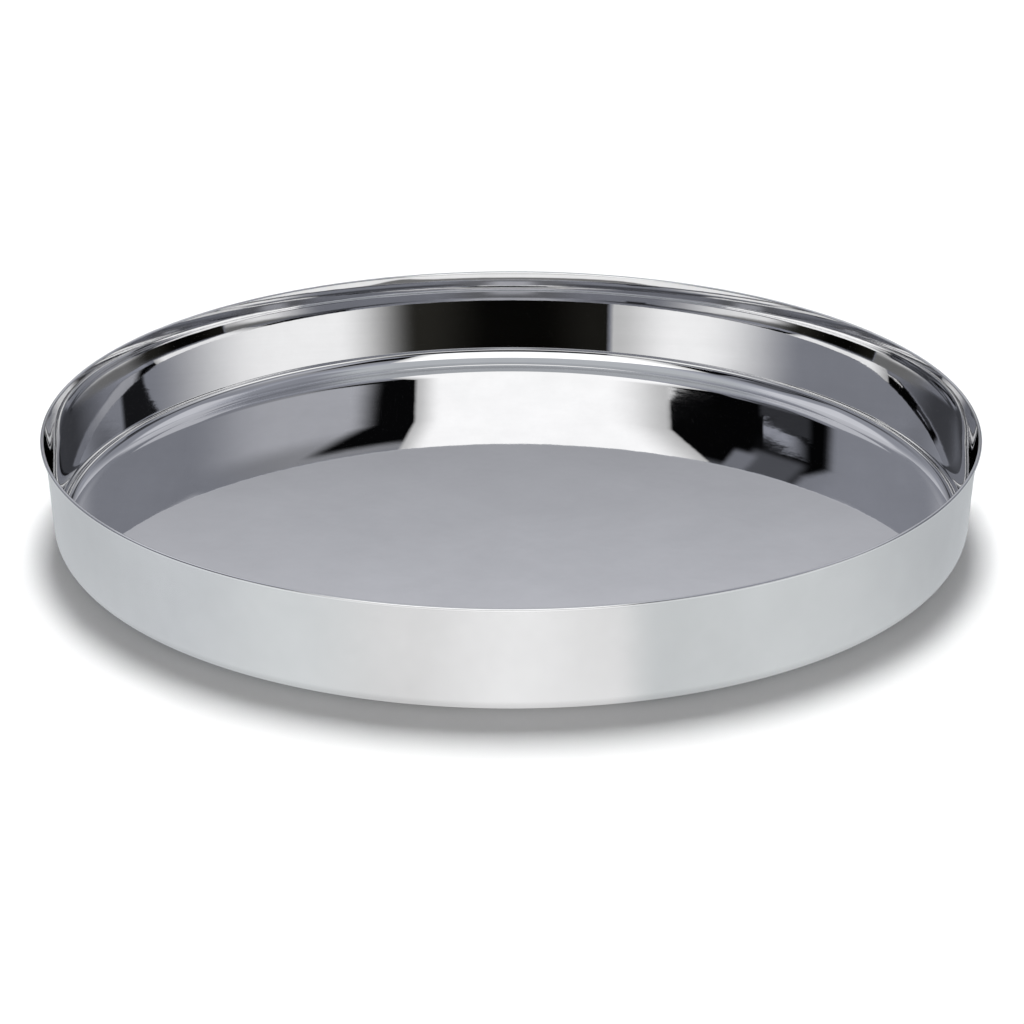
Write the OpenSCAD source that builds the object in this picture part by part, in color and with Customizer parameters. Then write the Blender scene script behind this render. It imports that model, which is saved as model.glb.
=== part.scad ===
// Round thali plate, pressed from one steel sheet: flat floor, low leaning wall that flares a
// little towards the top, rounded edge.
// Millimetres. The origin is the centre of the underside, with +Z up through the dish.

/* [Dish] */
// Diameter over the rim, at its widest
rim_d = 300; // [200:5:420]
// Height from the underside to the top of the rim
plate_h = 34.5; // [24:0.5:70]
// Thickness of the steel sheet
sheet_t = 0.6; // [0.4:0.1:1]
// Lean of the wall from upright, in degrees
wall_lean = 3.1; // [0:0.1:15]
// Inside radius of the bend between the floor and the wall
bend_r = 6; // [2:0.5:10]

/* [Rim] */
// Height of the flare at the top of the wall
flare_h = 11; // [6:0.5:12]
// Lean that the flare adds to the wall by the time it reaches the edge, in degrees
flare_lean = 8; // [2:0.5:12]
// Diameter of the rounded bead along the edge
bead_d = 1.2; // [1.2:0.1:2.4]

/* [Hidden] */
$fn = 96;

// How far the rounds of the bend, flare and bead reach past the wall's faces, so that they cross
seam = 0.005;

// Centre of the bead
bead_x = (rim_d - bead_d) / 2;
bead_z = plate_h - bead_d / 2;

// Centre of the flare, outside the plate and shared by both faces of the sheet, and its inside radius
rim_lean = wall_lean + flare_lean;
flare_r = flare_h / (sin(rim_lean) - sin(wall_lean));
flare_x = bead_x + (flare_r - bead_d / 2 + seam) * cos(rim_lean);
flare_z = bead_z - (flare_r - bead_d / 2 + seam) * sin(rim_lean);

// Centre of the bend, shared by both faces of the sheet
bend_z = sheet_t + bend_r;
bend_x = flare_x - (flare_r + bend_r - 2 * seam + (flare_z - bend_z) * sin(wall_lean)) / cos(wall_lean);

// Half section of the space inside one face of the sheet, up to top_z
module cup_section(face_z, depth, top_z) {
    bend_face = bend_r + depth;
    flare_face = flare_r - depth;
    foot = [bend_x, bend_z] + (bend_face - seam) * [cos(wall_lean), -sin(wall_lean)];
    head = [flare_x, flare_z] - (flare_face - seam) * [cos(wall_lean), -sin(wall_lean)];
    polygon([
        [0, face_z],
        [bend_x, face_z],
        [bend_x, bend_z],
        foot,
        foot + (top_z - foot.y) * [tan(wall_lean), 1],
        [0, top_z]
    ]);
    translate([bend_x, bend_z]) circle(r = bend_face);
    difference() {
        translate([0, head.y]) square([flare_x, top_z - head.y]);
        translate([flare_x, flare_z]) circle(r = flare_face);
    }
}

// Half section of the sheet, with a bead flush inside the wall and proud of its outside
module sheet_section() {
    difference() {
        cup_section(0, sheet_t, bead_z);
        cup_section(sheet_t, 0, plate_h);
    }
    translate([bead_x, bead_z]) circle(d = bead_d);
}

module thali_plate() {
    color("gainsboro") rotate_extrude() sheet_section();
}

thali_plate();
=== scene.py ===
"""Looks of the thali plate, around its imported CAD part.

Metres, in the CAD's frame: the plate stands on z = 0, its axis is Z, and the camera side is -Y.
Directions round the plate are given as an azimuth, 0 at the camera side and + to the right of the
picture, and an elevation above the table, both in degrees.
"""

import math

import bpy
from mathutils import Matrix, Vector


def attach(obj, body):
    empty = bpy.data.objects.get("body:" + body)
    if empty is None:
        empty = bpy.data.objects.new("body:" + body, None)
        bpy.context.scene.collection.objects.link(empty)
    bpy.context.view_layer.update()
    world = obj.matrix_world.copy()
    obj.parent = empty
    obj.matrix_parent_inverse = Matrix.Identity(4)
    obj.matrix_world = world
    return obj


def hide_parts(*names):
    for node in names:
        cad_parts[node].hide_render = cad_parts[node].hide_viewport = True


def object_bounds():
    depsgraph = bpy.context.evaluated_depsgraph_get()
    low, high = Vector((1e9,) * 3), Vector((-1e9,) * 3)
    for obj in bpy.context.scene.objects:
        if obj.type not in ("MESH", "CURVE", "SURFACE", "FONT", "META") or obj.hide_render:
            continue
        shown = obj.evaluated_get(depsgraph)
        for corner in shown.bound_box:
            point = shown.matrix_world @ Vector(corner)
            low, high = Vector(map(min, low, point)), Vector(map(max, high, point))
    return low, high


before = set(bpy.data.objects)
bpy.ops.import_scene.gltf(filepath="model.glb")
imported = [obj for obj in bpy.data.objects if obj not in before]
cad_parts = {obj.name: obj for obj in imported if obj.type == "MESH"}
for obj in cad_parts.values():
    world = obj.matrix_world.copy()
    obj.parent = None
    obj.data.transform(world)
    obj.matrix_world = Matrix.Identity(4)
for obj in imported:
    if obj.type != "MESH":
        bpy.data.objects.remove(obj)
cad_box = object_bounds()

# Sizes of the plate
RIM_R = cad_box[1].x
HEIGHT = cad_box[1].z
SHEET_T = 0.0006
WALL_LEAN = math.radians(3.1)
BEND_R = 0.006
FLARE_H = 0.011
FLARE_LEAN = math.radians(8)    # what the flare adds to the wall's lean by the edge
BEAD_R = 0.0006
NECK_R = 0.0003                 # hollow between the bead and the outside of the wall
SEGMENTS = 512
FLOOR_RINGS = 14
WALL_RINGS = 6
BEND_STEPS = 24
FLARE_STEPS = 10
BEAD_STEPS = 14
NECK_STEPS = 5

# Camera, as the photo was taken
IMAGE_PX = 1024
SENSOR_MM = 36.0
FOCAL_PX = 3125.0
CAMERA_DISTANCE = 6.70 * RIM_R
CAMERA_ELEVATION = math.radians(20.845)
CAMERA_PITCH = math.radians(22.56)
CAMERA_X = 0.0003
CLIP_END = 100.0

# Steel: colour and range of roughness of each finish, depths of what is uneven on it, and the scales
# of the noise that draws that, in waves to the metre
MIRROR = (0.785, 0.785, 0.79)
MIRROR_ROUGHNESS = (0.01, 0.03)
MIRROR_WAVES = 0.00003
MIRROR_LINES = 0.000001
SATIN = (0.705, 0.705, 0.71)
SATIN_ROUGHNESS = (0.16, 0.24)
SATIN_WAVES = 0.00006
SATIN_LINES = 0.000004
RIPPLE = 0.000004
GRAIN = 0.0000005
TONES = ((0.3, 0.95), (0.7, 1.03))      # noise value, and the share of the colour there
SMUDGES = (0.35, 0.7)                   # noise values where the roughness is lowest and highest
TONE_SCALE = 30.0
SMUDGE_SCALE = 26.0
WAVE_SCALE = 22.0
RIPPLE_SCALE = 130.0
GRAIN_SCALE = 1100.0
LINE_SCALE = 700.0
LINE_STRETCH = 10.0                     # length of a line in its widths

# Studio round the plate, with the tints of its cards
FLOOR_SIZE = 60.0
STUDIO_R = 20.0
LAYER = 0.5                     # each layer of cards stands this much nearer than the one before it
CARD_STEPS = 24                 # fewest faces along each side of a curved card
FLAT_STEPS = (60, 40)           # faces along the sides of a flat card
SOFTBOX_TILT = 30.4
COOL = (0.945, 0.98, 1.12)
HIGH = (0.955, 0.995, 1.05)
GREY = (0.96, 0.975, 1.05)
WARM = (1.04, 1.0, 0.85)
NEUTRAL = (1.0, 1.0, 1.0)
LAMP_DISTANCE = 5.0
LAMP_ELEVATION = 67
LAMP_SIZE = (1.6, 2.6)
LAMP_WATTS = 275.0
WORLD_LIGHT = 0.31
BOUNCE = 0.45                   # share of what the steel shows that also lights the table beside it

# Table: its finish, a painted sheen that only the steel mirrors on it (a glow that stands in for light
# on the table) as azimuth, level and tint, and the ring where painted shade at the plate's foot takes
# some of that sheen away
TABLE = (0.92, 0.92, 0.92, 1)
TABLE_ROUGHNESS = (0.40, 0.50)
TABLE_GRAIN = 400.0
TABLE_Z = 0.00001               # just above the plate's underside, so that the two faces don't coincide
FADE = (0.6, 2.5)               # distances between which the table turns into the white background
PALE = (0.965, 1.0, 1.012)
SIDE = (0.958, 0.995, 1.03)
# painted sheen: glow levels by azimuth that the steel mirrors off the table, in place of its lighting
PAINTED_SHEEN = (
    (-110, 0.65, SIDE),
    (-75, 0.79, SIDE),
    (-50, 0.92, PALE),
    (-23, 0.97, NEUTRAL),
    (0, 1.17, NEUTRAL),
    (22, 1.06, NEUTRAL),
    (34, 0.82, PALE),
    (60, 0.86, PALE),
    (110, 0.61, SIDE),
)
PAINTED_SHEEN_CENTRE = RIM_R / 2        # the painted sheen's azimuths turn about a point this far in front of the axis
# ring round the foot where the painted sheen is dimmed into painted shade
PAINTED_SHADE_RING = (0.1415, 0.1490)
PAINTED_SHADE_SHARE = 0.62            # share of the painted sheen left at the foot, as painted shade


def smooth(x):
    """Smooth step from 0 to 1."""
    x = min(max(x, 0.0), 1.0)
    return x * x * (3 - 2 * x)


def direction(azimuth, elevation):
    """Unit vector for an azimuth and an elevation in degrees."""
    a, e = math.radians(azimuth), math.radians(elevation)
    return Vector((math.sin(a) * math.cos(e), -math.cos(a) * math.cos(e), math.sin(e)))


# Mesh of the plate


def spoke(angle):
    """Unit vector of the section at an angle from the outward direction."""
    return Vector((math.cos(angle), math.sin(angle)))


def straight(start, end, normal, steps):
    """Points of a straight stretch of the profile, without its last point."""
    for i in range(steps):
        yield start.lerp(end, i / steps), normal


def arc(centre, radius, first, last, steps, side):
    """Points of a round stretch, without its last point.

    side is 1 where the normal points away from the centre, and -1 where it points to it.
    """
    for i in range(steps):
        ray = spoke(first + (last - first) * i / steps)
        yield centre + ray * radius, ray * side


def sheet_profile():
    """Points and normals round the sheet's half section, and where in that list the outside begins.

    The points run from the middle of the dish over the edge to the middle of the foot.
    """
    right_angle = math.pi / 2
    wall_side = math.pi - WALL_LEAN
    rim_side = wall_side - FLARE_LEAN
    out = -spoke(wall_side)

    bead = Vector((RIM_R - BEAD_R, HEIGHT - BEAD_R))
    flare_r = FLARE_H / (math.sin(rim_side) - math.sin(wall_side))
    flare = bead - spoke(rim_side) * (flare_r - BEAD_R)
    bend_z = SHEET_T + BEND_R
    reach = flare_r + BEND_R + (flare.y - bend_z) * math.sin(WALL_LEAN)
    bend = Vector((flare.x - reach / math.cos(WALL_LEAN), bend_z))

    to_bead, to_neck, apart = flare_r - BEAD_R, flare_r - SHEET_T - NECK_R, BEAD_R + NECK_R
    turn = math.acos((to_bead ** 2 + to_neck ** 2 - apart ** 2) / (2 * to_bead * to_neck))
    neck_side = rim_side + turn
    neck = flare + spoke(neck_side) * to_neck
    bead_end = math.atan2(neck.y - bead.y, neck.x - bead.x)

    floor_in, floor_out = Vector((bend.x, SHEET_T)), Vector((bend.x, 0))
    up, down = Vector((0, 1)), Vector((0, -1))

    profile = []
    profile += straight(Vector((0, SHEET_T)), floor_in, up, FLOOR_RINGS)
    profile += arc(bend, BEND_R, -right_angle, -WALL_LEAN, BEND_STEPS, -1)
    profile += straight(bend + out * BEND_R, flare - out * flare_r, -out, WALL_RINGS)
    profile += arc(flare, flare_r, wall_side, rim_side, FLARE_STEPS, 1)
    profile += arc(bead, BEAD_R, rim_side, bead_end, BEAD_STEPS, 1)
    outside_from = len(profile)
    profile += arc(neck, NECK_R, bead_end + math.pi, neck_side, NECK_STEPS, -1)
    profile += arc(flare, flare_r - SHEET_T, neck_side, wall_side, FLARE_STEPS, -1)
    profile += straight(flare - out * (flare_r - SHEET_T), bend + out * (BEND_R + SHEET_T), out, WALL_RINGS)
    profile += arc(bend, BEND_R + SHEET_T, -WALL_LEAN, -right_angle, BEND_STEPS, 1)
    profile += straight(floor_out, Vector((0, 0)), down, FLOOR_RINGS)
    profile.append((Vector((0, 0)), down))
    return profile, outside_from


def revolve(name, profile, outside_from, materials):
    """Closed mesh of the profile turned about Z. Rings from outside_from on take the second material."""
    verts, normals, rings = [], [], []
    for point, normal in profile:
        on_axis = point.x < 1e-9
        count = 1 if on_axis else SEGMENTS
        rings.append(list(range(len(verts), len(verts) + count)))
        for j in range(count):
            a = 2 * math.pi * j / SEGMENTS
            verts.append((point.x * math.cos(a), point.x * math.sin(a), point.y))
            normals.append((normal.x * math.cos(a), normal.x * math.sin(a), normal.y))

    length = [0.0]
    for (a, _), (b, _) in zip(profile, profile[1:]):
        length.append(length[-1] + (b - a).length)

    faces, uvs, slots = [], [], []
    for i, (low, high) in enumerate(zip(rings, rings[1:])):
        v0, v1 = length[i] / length[-1], length[i + 1] / length[-1]
        for j in range(SEGMENTS):
            k = (j + 1) % SEGMENTS
            u0, u1 = j / SEGMENTS, (j + 1) / SEGMENTS
            if len(low) == 1:
                faces.append((low[0], high[j], high[k]))
                uvs += [((u0 + u1) / 2, v0), (u0, v1), (u1, v1)]
            elif len(high) == 1:
                faces.append((low[j], high[0], low[k]))
                uvs += [(u0, v0), ((u0 + u1) / 2, v1), (u1, v0)]
            else:
                faces.append((low[j], high[j], high[k], low[k]))
                uvs += [(u0, v0), (u0, v1), (u1, v1), (u1, v0)]
            slots.append(1 if i >= outside_from else 0)

    mesh = bpy.data.meshes.new(name)
    mesh.from_pydata(verts, [], faces)
    for material in materials:
        mesh.materials.append(material)
    layer = mesh.uv_layers.new(name="round_and_along")
    for loop, uv in zip(layer.data, uvs):
        loop.uv = uv
    for polygon, slot in zip(mesh.polygons, slots):
        polygon.material_index = slot
    mesh.shade_smooth()
    mesh.normals_split_custom_set_from_vertices(normals)
    obj = bpy.data.objects.new(name, mesh)
    bpy.context.collection.objects.link(obj)
    return obj


# Materials


def new_material(name):
    """Empty node material: its nodes, its links and its output node."""
    material = bpy.data.materials.new(name)
    material.use_nodes = True
    nodes, links = material.node_tree.nodes, material.node_tree.links
    nodes.clear()
    return material, nodes, links, nodes.new("ShaderNodeOutputMaterial")


def noise(nodes, links, vector, scale, detail=2.0, roughness=0.5):
    """Noise texture read at a vector, as a value from 0 to 1."""
    node = nodes.new("ShaderNodeTexNoise")
    node.inputs["Scale"].default_value = scale
    node.inputs["Detail"].default_value = detail
    node.inputs["Roughness"].default_value = roughness
    links.new(vector, node.inputs["Vector"])
    return node.outputs["Fac"]


def spread(nodes, links, value, low, high, to_low, to_high):
    """Value from low to high spread over to_low to to_high."""
    node = nodes.new("ShaderNodeMapRange")
    node.inputs["From Min"].default_value = low
    node.inputs["From Max"].default_value = high
    node.inputs["To Min"].default_value = to_low
    node.inputs["To Max"].default_value = to_high
    links.new(value, node.inputs["Value"])
    return node.outputs["Result"]


def math_node(nodes, links, operation, *values):
    """Math node on sockets and numbers."""
    node = nodes.new("ShaderNodeMath")
    node.operation = operation
    for value, socket in zip(values, node.inputs):
        if isinstance(value, (int, float)):
            socket.default_value = value
        else:
            links.new(value, socket)
    return node.outputs["Value"]


def mix_shader(nodes, links, share, first, second):
    """Shader that is the second one by that share, and otherwise the first."""
    node = nodes.new("ShaderNodeMixShader")
    links.new(share, node.inputs["Fac"])
    links.new(first, node.inputs[1])
    links.new(second, node.inputs[2])
    return node.outputs["Shader"]


def bump(nodes, links, height, depth, normal=None):
    """Bump of that depth in metres, on top of another normal if one is given."""
    node = nodes.new("ShaderNodeBump")
    node.inputs["Strength"].default_value = 1.0
    node.inputs["Distance"].default_value = depth
    links.new(height, node.inputs["Height"])
    if normal:
        links.new(normal, node.inputs["Normal"])
    return node.outputs["Normal"]


def round_lines(nodes, links, place):
    """Place scaled more along Z than across it, so that noise read there draws lines round the wall."""
    around = nodes.new("ShaderNodeVectorMath")
    around.operation = "MULTIPLY"
    around.inputs[1].default_value = (LINE_SCALE / LINE_STRETCH, LINE_SCALE / LINE_STRETCH, LINE_SCALE)
    links.new(place, around.inputs[0])
    return around.outputs["Vector"]


def steel(name, colour, roughness, waves, lines):
    """Polished steel with smudges, a faintly wavy face, fine lines round it and a fine grain."""
    material, nodes, links, output = new_material(name)
    place = nodes.new("ShaderNodeTexCoord").outputs["Object"]
    shader = nodes.new("ShaderNodeBsdfPrincipled")
    shader.inputs["Metallic"].default_value = 1.0
    tone = nodes.new("ShaderNodeValToRGB")
    for stop, (position, share) in zip(tone.color_ramp.elements, TONES):
        stop.position = position
        stop.color = [c * share for c in colour] + [1]
    links.new(noise(nodes, links, place, TONE_SCALE, 5.0, 0.65), tone.inputs["Fac"])
    links.new(tone.outputs["Color"], shader.inputs["Base Color"])
    smudges = noise(nodes, links, place, SMUDGE_SCALE, 4.0, 0.6)
    links.new(spread(nodes, links, smudges, *SMUDGES, *roughness), shader.inputs["Roughness"])
    face = bump(nodes, links, noise(nodes, links, place, WAVE_SCALE, 1.0), waves)
    face = bump(nodes, links, noise(nodes, links, place, RIPPLE_SCALE, 2.0), RIPPLE, face)
    streaks = noise(nodes, links, round_lines(nodes, links, place), 1.0, 2.0)
    face = bump(nodes, links, streaks, lines, face)
    face = bump(nodes, links, noise(nodes, links, place, GRAIN_SCALE, 2.0), GRAIN, face)
    links.new(face, shader.inputs["Normal"])
    links.new(shader.outputs["BSDF"], output.inputs["Surface"])
    return material


def seen_in_mirror(nodes, links):
    """1 for glossy and transmission rays, BOUNCE for those of them that light the table, otherwise 0."""
    path = nodes.new("ShaderNodeLightPath").outputs
    mirrored = math_node(nodes, links, "MAXIMUM", path["Is Glossy Ray"], path["Is Transmission Ray"])
    share = spread(nodes, links, path["Diffuse Depth"], 0, 1, 1.0, BOUNCE)
    return math_node(nodes, links, "MULTIPLY", mirrored, share)


def seen(nodes, links):
    """1 for what the camera sees directly or mirrored, BOUNCE for what steel mirrors onto the table."""
    path = nodes.new("ShaderNodeLightPath").outputs
    return math_node(nodes, links, "MAXIMUM", path["Is Camera Ray"], seen_in_mirror(nodes, links))


def table_material():
    """Pale table top that the lamp and the world light, with the plate's shadow.

    Steel mirrors a painted sheen on it, a glow by azimuth that stands in for light on the table and is
    painted darker in a ring at the plate's foot; far from the plate the camera sees white.
    """
    material, nodes, links, output = new_material("pale_table")
    place = nodes.new("ShaderNodeTexCoord").outputs["Object"]
    lit = nodes.new("ShaderNodeBsdfPrincipled")
    lit.inputs["Base Color"].default_value = TABLE
    grain = noise(nodes, links, place, TABLE_GRAIN)
    links.new(spread(nodes, links, grain, 0, 1, *TABLE_ROUGHNESS), lit.inputs["Roughness"])

    spot = nodes.new("ShaderNodeSeparateXYZ")
    links.new(place, spot.inputs["Vector"])
    ahead = math_node(nodes, links, "MULTIPLY_ADD", spot.outputs["Y"], -1.0, -PAINTED_SHEEN_CENTRE)
    azimuth = math_node(nodes, links, "ARCTAN2", spot.outputs["X"], ahead)
    ramp = nodes.new("ShaderNodeValToRGB")
    ramp.color_ramp.interpolation = "EASE"
    stops = ramp.color_ramp.elements
    while len(stops) < len(PAINTED_SHEEN):
        stops.new(0.5)
    for stop, (degrees, level, tint) in zip(stops, PAINTED_SHEEN):
        stop.position = degrees / 360 + 0.5
        stop.color = [level * c for c in tint] + [1]
    links.new(spread(nodes, links, azimuth, -math.pi, math.pi, 0, 1), ramp.inputs["Fac"])
    distance = nodes.new("ShaderNodeVectorMath")
    distance.operation = "LENGTH"
    links.new(place, distance.inputs[0])
    # painted sheen: an emission that only mirrored rays see, a glow by azimuth standing in for light on the
    # table
    sheen = nodes.new("ShaderNodeEmission")
    links.new(ramp.outputs["Color"], sheen.inputs["Color"])
    # painted shade: the sheen is dimmed in a ring round the plate's foot
    painted_shade = spread(nodes, links, distance.outputs["Value"], *PAINTED_SHADE_RING, PAINTED_SHADE_SHARE, 1.0)
    links.new(painted_shade, sheen.inputs["Strength"])

    white = nodes.new("ShaderNodeEmission")
    path = nodes.new("ShaderNodeLightPath").outputs
    far = spread(nodes, links, distance.outputs["Value"], *FADE, 0.0, 1.0)
    faded = mix_shader(nodes, links, math_node(nodes, links, "MULTIPLY", far, path["Is Camera Ray"]),
                       lit.outputs["BSDF"], white.outputs["Emission"])
    # the steel sees the painted sheen instead of the lit table
    top = mix_shader(nodes, links, seen_in_mirror(nodes, links), faded, sheen.outputs["Emission"])
    links.new(top, output.inputs["Surface"])
    return material


def card_material():
    """Studio card that shows the brightness in its own glow layer and fades out with that layer's alpha."""
    material, nodes, links, output = new_material("studio_card")
    glow = nodes.new("ShaderNodeVertexColor")
    glow.layer_name = "glow"
    emission = nodes.new("ShaderNodeEmission")
    clear = nodes.new("ShaderNodeBsdfTransparent")
    links.new(glow.outputs["Color"], emission.inputs["Color"])
    cover = math_node(nodes, links, "MULTIPLY", glow.outputs["Alpha"], seen_in_mirror(nodes, links))
    card = mix_shader(nodes, links, cover, clear.outputs["BSDF"], emission.outputs["Emission"])
    links.new(card, output.inputs["Surface"])
    return material


# Stage


def grid(name, columns, rows, place, glow):
    """Grid mesh whose points and glow are functions of u and v, from 0 to 1."""
    verts, faces, glows = [], [], []
    for j in range(rows + 1):
        for i in range(columns + 1):
            u, v = i / columns, j / rows
            verts.append(place(u, v))
            glows.append(glow(u, v))
    for j in range(rows):
        for i in range(columns):
            a = j * (columns + 1) + i
            faces.append((a, a + 1, a + columns + 2, a + columns + 1))
    mesh = bpy.data.meshes.new(name)
    mesh.from_pydata(verts, [], faces)
    layer = mesh.color_attributes.new("glow", "FLOAT_COLOR", "POINT")
    for point, value in zip(layer.data, glows):
        point.color = value
    obj = bpy.data.objects.new(name, mesh)
    bpy.context.collection.objects.link(obj)
    return obj


def reflected_only(obj, material):
    """The card is seen in the steel, and neither lights nor shades the table directly."""
    obj.data.materials.append(material)
    obj.visible_camera = False
    obj.visible_diffuse = False
    obj.visible_shadow = False
    obj.visible_transmission = False


def edge(*points):
    """Edge of a card that runs straight from point to point, each an elevation and an azimuth."""
    def azimuth(elevation):
        for (low, start), (high, end) in zip(points, points[1:]):
            if elevation <= high:
                share = max(elevation - low, 0) / (high - low)
                return start + (end - start) * share
        return points[-1][1]
    return azimuth


def at_height(side, elevation):
    """Azimuth of a card's side, which is a number or an edge."""
    return side(elevation) if callable(side) else side


def feathered(distances, widths):
    """Cover of a card at distances from its sides, bottom and top, where it fades over those widths."""
    cover = 1.0
    for distance, width in zip(distances, widths):
        if width > 0:
            cover *= smooth(distance / width)
    return cover


def curved_card(name, layer, sides, elevations, level, feather=(0, 0, 0, 0), tint=COOL):
    """Card on part of a sphere round the plate, in degrees.

    level is a number, or a function of azimuth and elevation.
    """
    distance = STUDIO_R - LAYER * layer
    low, high = elevations

    def spot(u, v):
        elevation = low + (high - low) * v
        left, right = at_height(sides[0], elevation), at_height(sides[1], elevation)
        return left, left + (right - left) * u, right, elevation

    def place(u, v):
        _, azimuth, _, elevation = spot(u, v)
        return direction(azimuth, elevation) * distance

    def glow(u, v):
        left, azimuth, right, elevation = spot(u, v)
        value = level(azimuth, elevation) if callable(level) else level
        cover = feathered((azimuth - left, right - azimuth, elevation - low, high - elevation), feather)
        return [value * c for c in tint] + [cover]

    left, _, right, _ = spot(0, 1)
    columns, rows = max(CARD_STEPS, int(right - left)), max(CARD_STEPS, int(2 * (high - low)))
    return grid(name, columns, rows, place, glow)


def flat_card(name, layer, foot, head, along, level, feather=(0, 0, 0, 0), tint=NEUTRAL):
    """Card in the softbox's plane, in shares of its distance.

    foot and head are its sides at the bottom and at the top, and along is its bottom and its top.
    """
    distance = STUDIO_R - LAYER * layer
    facing = direction(0, SOFTBOX_TILT)
    side = Vector((1, 0, 0))
    rise = side.cross(-facing)

    def spot(u, v):
        left, right = (low + (high - low) * v for low, high in zip(foot, head))
        return left, left + (right - left) * u, right, along[0] + (along[1] - along[0]) * v

    def place(u, v):
        _, x, _, y = spot(u, v)
        return (facing + side * x + rise * y) * distance

    def glow(u, v):
        left, x, right, y = spot(u, v)
        cover = feathered((x - left, right - x, y - along[0], along[1] - y), feather)
        return [level * c for c in tint] + [cover]

    return grid(name, *FLAT_STEPS, place, glow)


def wall_level(azimuth, elevation):
    """Level of the walls: dim near the table, lighter high up and a little lighter at the left."""
    level = 0.29 + 0.04 * smooth((-92 - azimuth) / 12) * smooth((elevation - 20) / 5)
    return level + 0.26 * smooth((elevation - 40) / 26) - 0.22 * smooth((8 - elevation) / 5)


def backdrop_level(azimuth, elevation):
    """Level of the backdrop, which rises with the elevation between two limits."""
    return min(max(0.418 + 0.0574 * (elevation - 21.3), 0.2), 0.62)


def table_end_level(azimuth, elevation):
    """Level at the far end of the table: white down to an edge, and dim below that in the middle."""
    far_edge = 1.5 * smooth((41 - abs(azimuth)) / 14) + 0.95 * math.exp(-((azimuth - 29) / 6) ** 2)
    return 0.2 + 0.8 * smooth((elevation - far_edge) / 0.6)


def left_low_level(azimuth, elevation):
    """Level of the low card at the left, which dips beside the plate."""
    return 0.31 - 0.23 * smooth((-42 - azimuth) / 48) + 0.28 * smooth((-105 - azimuth) / 50)


def right_low_level(azimuth, elevation):
    """Level of the low card at the right, which dips beside the plate."""
    return 0.43 - 0.36 * smooth((azimuth - 42) / 70) + 0.29 * smooth((azimuth - 122) / 30)


def right_grey_level(azimuth, elevation):
    """Level of the grey card at the right, which falls with the elevation."""
    return 0.57 - 0.22 * smooth((elevation - 26) / 10)


def board_level(level, azimuth, elevation):
    """Level of a board that is dim above its top edge, which rises to the sides."""
    return 0.25 + (level - 0.25) * smooth((15.2 + 0.00032 * azimuth ** 2 - elevation) / 1.5)


def left_board_level(azimuth, elevation):
    """Level of the left board, brighter away from the middle."""
    return board_level(0.72 + 0.58 * smooth((-27 - azimuth) / 19), azimuth, elevation)


def right_board_level(azimuth, elevation):
    """Level of the right board."""
    return board_level(1.27, azimuth, elevation)


def front_dark_level(azimuth, elevation):
    """Level of the dark card in front, nearly black in the middle."""
    return 0.003 + 0.022 * smooth((azimuth - 5) / 20) + 0.01 * smooth((-8 - azimuth) / 15)


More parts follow.
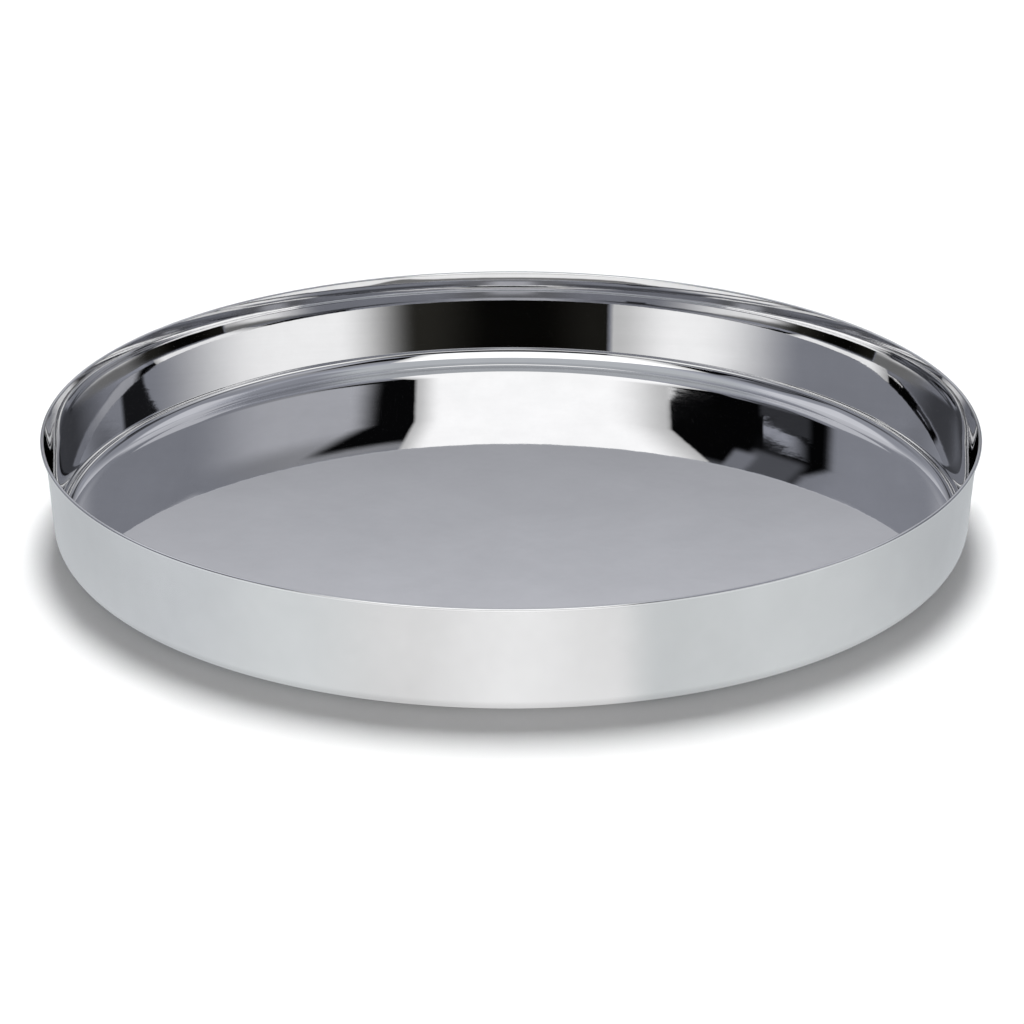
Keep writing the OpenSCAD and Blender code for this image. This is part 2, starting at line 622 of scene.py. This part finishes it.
def cards():
    """What the steel mirrors.

    A curved card is a name, a layer, its sides, its elevations, a level, the widths over which it fades at
    the left, right, bottom and top, and a tint. Where cards overlap, the one on the higher layer shows.
    """
    softbox = ((-0.72, 0.43), (-1.08, 0.53), (-0.16, 0.70))
    left_end = edge((24, -101), (28, -98), (34, -93))
    right_end = edge((24, 42), (26, 44.5), (35, 60), (38, 66))
    post_side = edge((16.3, 110.5), (16.8, 104.5))
    corner = edge((25.7, -58), (26.0, -53), (26.3, -47.5), (26.75, -44.5))
    return [
        curved_card("walls", 0, (-180, 180), (0, 90), wall_level),
        curved_card("ceiling", 0.5, (-180, 180), (52, 90), 0.56, (0, 0, 14, 0), HIGH),
        curved_card("backdrop", 1, (140, 220), (0, 80), backdrop_level, (25, 25, 0, 15), GREY),
        curved_card("left_side", 2, (-162, -104), (35, 62), 0.72, (12, 8, 4, 6), GREY),
        curved_card("right_upper", 3, (70, 150), (52, 72), 0.30, (14, 10, 6, 8)),
        curved_card("right_side", 4, (98, 152), (35, 56), 0.67, (8, 12, 4, 8), GREY),
        curved_card("left_low", 5, (-165, -40), (17.5, 24.4), left_low_level, (15, 4, 1, 1)),
        curved_card("right_low", 6, (28, 165), (17.5, 24.4), right_low_level, (4, 15, 1, 1)),
        curved_card("back_light", 1.5, (163, 197), (1, 15.5), 0.56, (13, 13, 3, 3), GREY),
        curved_card("front_glow", 7, (-50, 50), (1.5, 10), 0.9, (14, 14, 1, 2), NEUTRAL),
        curved_card("table_end", 8, (-85, 85), (0, 4), table_end_level, (10, 10, 0, 0.5), NEUTRAL),
        curved_card("left_dark", 9, (left_end, -30), (24.4, 46), 0.002, (5, 0, 0.5, 8)),
        curved_card("left_haze", 10, (-91, -71.5), (24.6, 26.1), 0.045, (3, 2, 0.3, 0.05)),
        curved_card("left_gleam", 11, (-91, -69.5), (26.5, 46), 0.11, (5, 3, 4, 6)),
        curved_card("left_arrow", 12, (-90, -73.2), (26.15, 26.62), 0.42, (10, 0.6, 0.05, 0.15)),
        curved_card("left_upper", 13, (-75, -64.5), (29.5, 44), 0.24, (3.5, 2.5, 3.5, 4)),
        curved_card("right_grey", 14, (30, 100), (24.4, 46), right_grey_level, (0, 34, 0.5, 6), GREY),
        curved_card("right_dark", 15, (20, right_end), (24.4, 41), 0.003, (0, 10, 0.5, 4)),
        flat_card("softbox_frame", 22, *softbox, 0.72, (0.03, 0.012, 0.03, 0.05)),
        flat_card("softbox", 23, *softbox, 1.5, (0.36, 0.14, 0.03, 0.05)),
        curved_card("softbox_corner", 16, (corner, -40), (25.2, 26.75), 0.9, (1, 0, 0, 0.1), NEUTRAL),
        curved_card("front_dark", 25, (-26.5, 45), (9.5, 20), front_dark_level, (1, 0, 1.5, 3), WARM),
        curved_card("left_board", 26, (-84, -26.5), (7.5, 20), left_board_level, (34, 1, 4, 1.5), NEUTRAL),
        curved_card("right_board", 27, (25, 110), (7.5, 20), right_board_level, (23, 46, 4, 1.5), NEUTRAL),
        curved_card("right_post", 28, (post_side, 123), (15, 19.5), 0.012, (2, 2.5, 0.8, 1.5)),
    ]


def studio():
    """Table, cards, lamp and world."""
    table = grid("table", 1, 1, lambda u, v: ((u - 0.5) * FLOOR_SIZE, (v - 0.5) * FLOOR_SIZE, TABLE_Z),
                 lambda u, v: (1, 1, 1, 1))
    table.data.materials.append(table_material())
    card = card_material()
    for obj in cards():
        reflected_only(obj, card)

    lamp = bpy.data.lights.new("key", "AREA")
    lamp.shape = "RECTANGLE"
    lamp.size, lamp.size_y = LAMP_SIZE
    lamp.energy = LAMP_WATTS
    key = bpy.data.objects.new("key", lamp)
    bpy.context.collection.objects.link(key)
    key.location = direction(180, LAMP_ELEVATION) * LAMP_DISTANCE
    key.rotation_mode = "QUATERNION"
    key.rotation_quaternion = (-key.location).to_track_quat("-Z", "Y")
    key.visible_camera = False
    key.visible_glossy = False

    world = bpy.data.worlds.new("studio")
    bpy.context.scene.world = world
    world.use_nodes = True
    nodes, links = world.node_tree.nodes, world.node_tree.links
    back = nodes["Background"]
    back.inputs["Color"].default_value = (1, 1, 1, 1)
    links.new(spread(nodes, links, seen(nodes, links), 0, 1, WORLD_LIGHT, 1.0), back.inputs["Strength"])


def camera():
    """Camera where the photo was taken from."""
    data = bpy.data.cameras.new("camera")
    data.sensor_width = SENSOR_MM
    data.lens = FOCAL_PX * SENSOR_MM / IMAGE_PX
    data.clip_end = CLIP_END
    obj = bpy.data.objects.new("camera", data)
    bpy.context.collection.objects.link(obj)
    rim_centre = Vector((CAMERA_X, 0, HEIGHT - BEAD_R))
    obj.location = rim_centre + direction(0, math.degrees(CAMERA_ELEVATION)) * CAMERA_DISTANCE
    obj.rotation_euler = (math.pi / 2 - CAMERA_PITCH, 0, 0)
    bpy.context.scene.camera = obj


profile, outside_from = sheet_profile()
plate = revolve("thali_plate_sheet", profile, outside_from, [
    steel("mirror_steel", MIRROR, MIRROR_ROUGHNESS, MIRROR_WAVES, MIRROR_LINES),
    steel("satin_steel", SATIN, SATIN_ROUGHNESS, SATIN_WAVES, SATIN_LINES),
])
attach(plate, "root")
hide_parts("thali_plate")

studio()
camera()
bpy.context.scene.view_settings.view_transform = "Standard"
